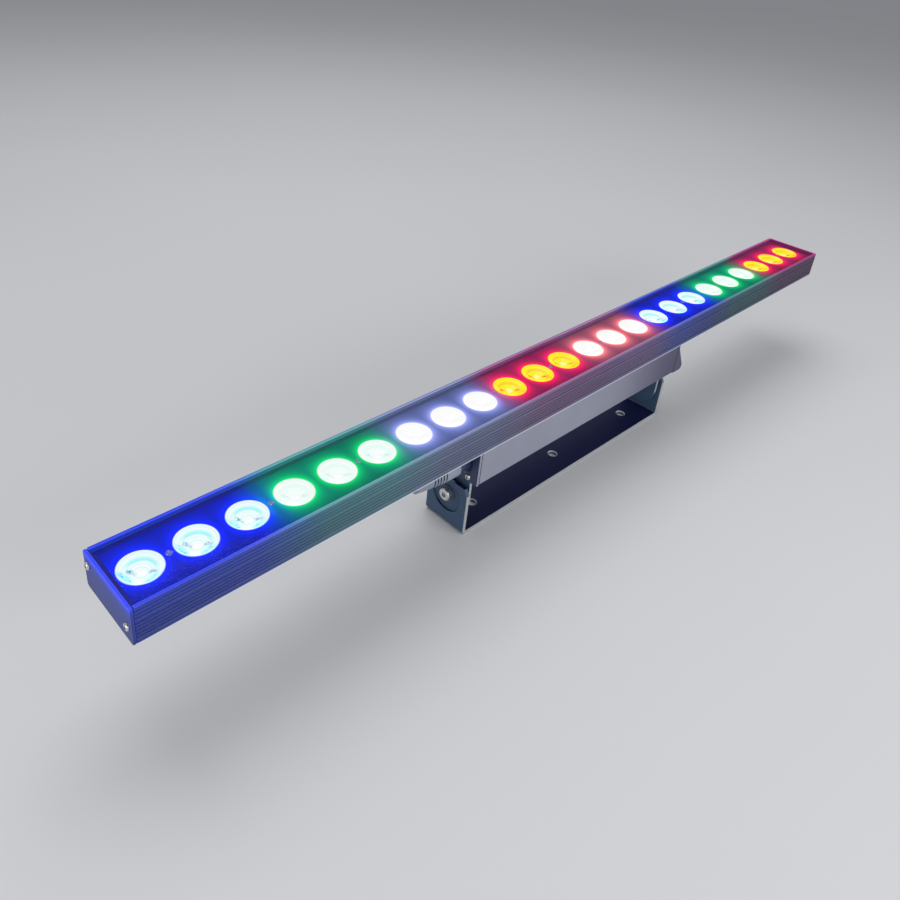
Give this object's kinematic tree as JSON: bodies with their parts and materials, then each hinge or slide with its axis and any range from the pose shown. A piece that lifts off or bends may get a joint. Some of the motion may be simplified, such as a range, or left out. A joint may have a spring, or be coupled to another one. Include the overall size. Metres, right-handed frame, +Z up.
{
  "type": "outdoor wall washer light",
  "caption": "Long bar-shaped wall washer with a row of coloured lenses behind glass, a control box beneath and a tilting U-shaped bracket.",
  "frame": {"origin": "on the surface that the bracket stands on, under the middle of the bar", "axes": "+X along the bar, away from the inlets; +Z up, the way the light shines at rest; -Y is the side shown in the picture, +Y the side with the buttons"},
  "size_m": [1.0036, 0.067, 0.131],
  "materials": {
    "bar_aluminium": "satin anodised, grey",
    "box_paint": "fine powder coat, grey",
    "bracket_paint": "fine powder coat, slate grey",
    "gasket_rubber": "matt black",
    "stainless_screw": "bright stainless steel",
    "bolt_steel": "bright stainless steel",
    "front_glass": "clear tempered glass",
    "lens_panel": "satin black paint, lit by the lenses",
    "lens_blue": "clear polished lens, lit blue",
    "lens_green": "clear polished lens, lit green",
    "lens_cool_white": "clear polished lens, lit cool white",
    "lens_warm_white": "clear polished lens, lit warm white",
    "lens_red": "clear polished lens, lit red",
    "black_plastic": "moulded, satin black",
    "cap_grey": "moulded, light grey",
    "button_grey": "moulded, light grey",
    "terminal_grey": "moulded, grey",
    "pillar_brass": "turned brass",
    "white_board": "white solder mask on aluminium",
    "green_board": "green solder mask",
    "led_package": "moulded with a clear dome",
    "lead_red": "red insulated wire",
    "thermal_pad": "soft grey pad",
    "display_window": "smoked window",
    "supply_case": "plain folded sheet",
    "friction_fibre": "pressed fibre"
  },
  "bodies": {
    "mount": {"bracket": "bracket_paint", "pivot_bolts": "bolt_steel", "pivot_washers": "bolt_steel", "pivot_nuts": "bolt_steel", "friction_discs": "friction_fibre"},
    "lamp": {"housing_extrusion": "bar_aluminium", "end_plate_left": "bar_aluminium", "end_plate_right": "bar_aluminium", "end_gaskets": "gasket_rubber", "box_gaskets": "gasket_rubber", "glass_seal": "gasket_rubber", "end_plate_screws": "stainless_screw", "box_end_screws": "stainless_screw", "panel_screws": "stainless_screw", "hinge_plate_screws": "stainless_screw", "box_mount_screws": "stainless_screw", "clinch_nuts": "stainless_screw", "front_glass": "front_glass", "lens_panel": "lens_panel", "lens_holders": "black_plastic", "lenses_blue_1": "lens_blue", "lenses_blue_2": "lens_blue", "lenses_green_1": "lens_green", "lenses_green_2": "lens_green", "lenses_cool_white": "lens_cool_white", "lenses_warm_white": "lens_warm_white", "lenses_red_1": "lens_red", "lenses_red_2": "lens_red", "panel_pillars": "pillar_brass", "led_board_left": "white_board", "led_board_right": "white_board", "led_packages": "led_package", "led_leads": "lead_red", "thermal_pads": "thermal_pad", "control_box_shell": "box_paint", "box_end_plate_left": "box_paint", "box_end_plate_right": "box_paint", "hinge_plate_left": "bracket_paint", "hinge_plate_right": "bracket_paint", "signal_inlet": "black_plastic", "power_inlet": "black_plastic", "signal_outlet": "black_plastic", "power_outlet": "black_plastic", "signal_inlet_cap": "cap_grey", "power_inlet_cap": "cap_grey", "outlet_caps": "cap_grey", "control_panel": "black_plastic", "display_window": "display_window", "display_module": "black_plastic", "button_board": "green_board", "power_supply": "supply_case", "driver_board": "green_board", "driver_standoffs": "pillar_brass", "terminal_block": "terminal_grey", "vent_valve": "black_plastic"},
    "menu_button": {"menu_button": "button_grey"},
    "up_button": {"up_button": "button_grey"},
    "down_button": {"down_button": "button_grey"},
    "enter_button": {"enter_button": "button_grey"}
  },
  "joints": [
    {"name": "tilt", "type": "hinge", "parent": "mount", "child": "lamp", "pos_m": [-0.008, 0, 0.0345], "axis": [1, 0, 0], "range_deg": [-90, 90]},
    {"name": "menu_button_travel", "type": "slide", "parent": "lamp", "child": "menu_button", "axis": [0, -1, 0], "range_m": [0, 0.0008], "stiffness_N_per_m": 1200, "springref_m": -0.0004},
    {"name": "up_button_travel", "type": "slide", "parent": "lamp", "child": "up_button", "axis": [0, -1, 0], "range_m": [0, 0.0008], "stiffness_N_per_m": 1200, "springref_m": -0.0004},
    {"name": "down_button_travel", "type": "slide", "parent": "lamp", "child": "down_button", "axis": [0, -1, 0], "range_m": [0, 0.0008], "stiffness_N_per_m": 1200, "springref_m": -0.0004},
    {"name": "enter_button_travel", "type": "slide", "parent": "lamp", "child": "enter_button", "axis": [0, -1, 0], "range_m": [0, 0.0008], "stiffness_N_per_m": 1200, "springref_m": -0.0004}
  ]
}
